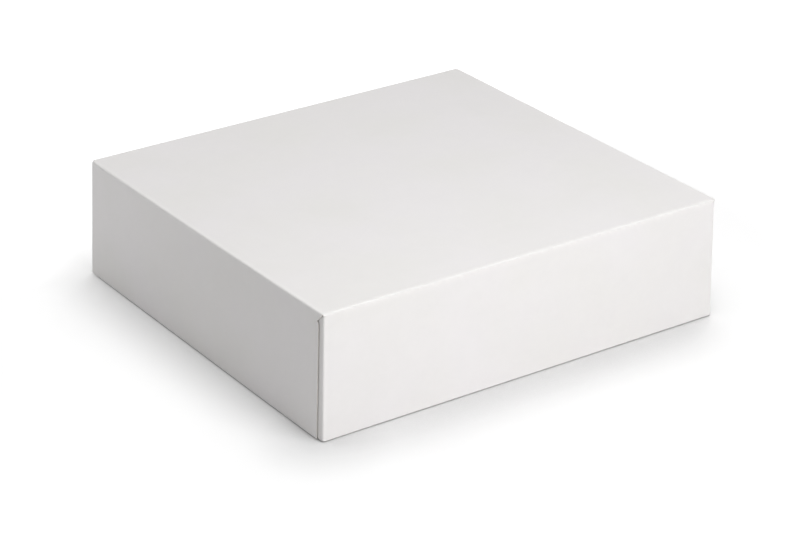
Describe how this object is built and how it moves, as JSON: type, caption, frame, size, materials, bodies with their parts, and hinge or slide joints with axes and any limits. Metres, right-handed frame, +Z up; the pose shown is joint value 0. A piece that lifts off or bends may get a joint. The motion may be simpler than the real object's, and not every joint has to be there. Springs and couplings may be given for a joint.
{
  "type": "cake box",
  "caption": "Folding cake box of plain white board: a shallow tray with a hinged lid whose front and side skirts fold down outside it.",
  "frame": {"origin": "centre of the closed box's footprint, on the surface that it stands on", "axes": "+X to the right, -Y to the front (the lid's front skirt), +Z up"},
  "size_m": [0.2726, 0.2566, 0.075],
  "materials": {
    "coated_board": "white coated folding board, satin, very fine fibre mottle",
    "inside_board": "uncoated inside of white folding board, matt, slightly warmer"
  },
  "bodies": {
    "tray": {"tray_bottom": "inside_board", "tray_back_wall": "coated_board", "tray_front_wall": "inside_board", "tray_left_wall": "inside_board", "tray_right_wall": "inside_board", "front_left_glue_tab": "inside_board", "front_right_glue_tab": "inside_board", "back_left_glue_tab": "inside_board", "back_right_glue_tab": "inside_board"},
    "lid": {"lid_panel": "coated_board"},
    "front_skirt": {"lid_front_skirt": "coated_board", "left_corner_ear": "coated_board", "right_corner_ear": "coated_board"},
    "left_skirt": {"lid_left_skirt": "coated_board"},
    "right_skirt": {"lid_right_skirt": "coated_board"}
  },
  "joints": [
    {"name": "lid_hinge", "type": "hinge", "parent": "tray", "child": "lid", "pos_m": [0, 0.12665, 0.0744], "axis": [-1, 0, 0], "range_deg": [0, 175]},
    {"name": "front_skirt_fold", "type": "hinge", "parent": "lid", "child": "front_skirt", "pos_m": [0, -0.12665, 0.0744], "axis": [-1, 0, 0], "range_deg": [0, 89.2]},
    {"name": "left_skirt_fold", "type": "hinge", "parent": "lid", "child": "left_skirt", "pos_m": [-0.1334, 0, 0.0744], "axis": [0, 1, 0], "range_deg": [0, 88.2]},
    {"name": "right_skirt_fold", "type": "hinge", "parent": "lid", "child": "right_skirt", "pos_m": [0.1334, 0, 0.0744], "axis": [0, -1, 0], "range_deg": [0, 88.2]}
  ]
}
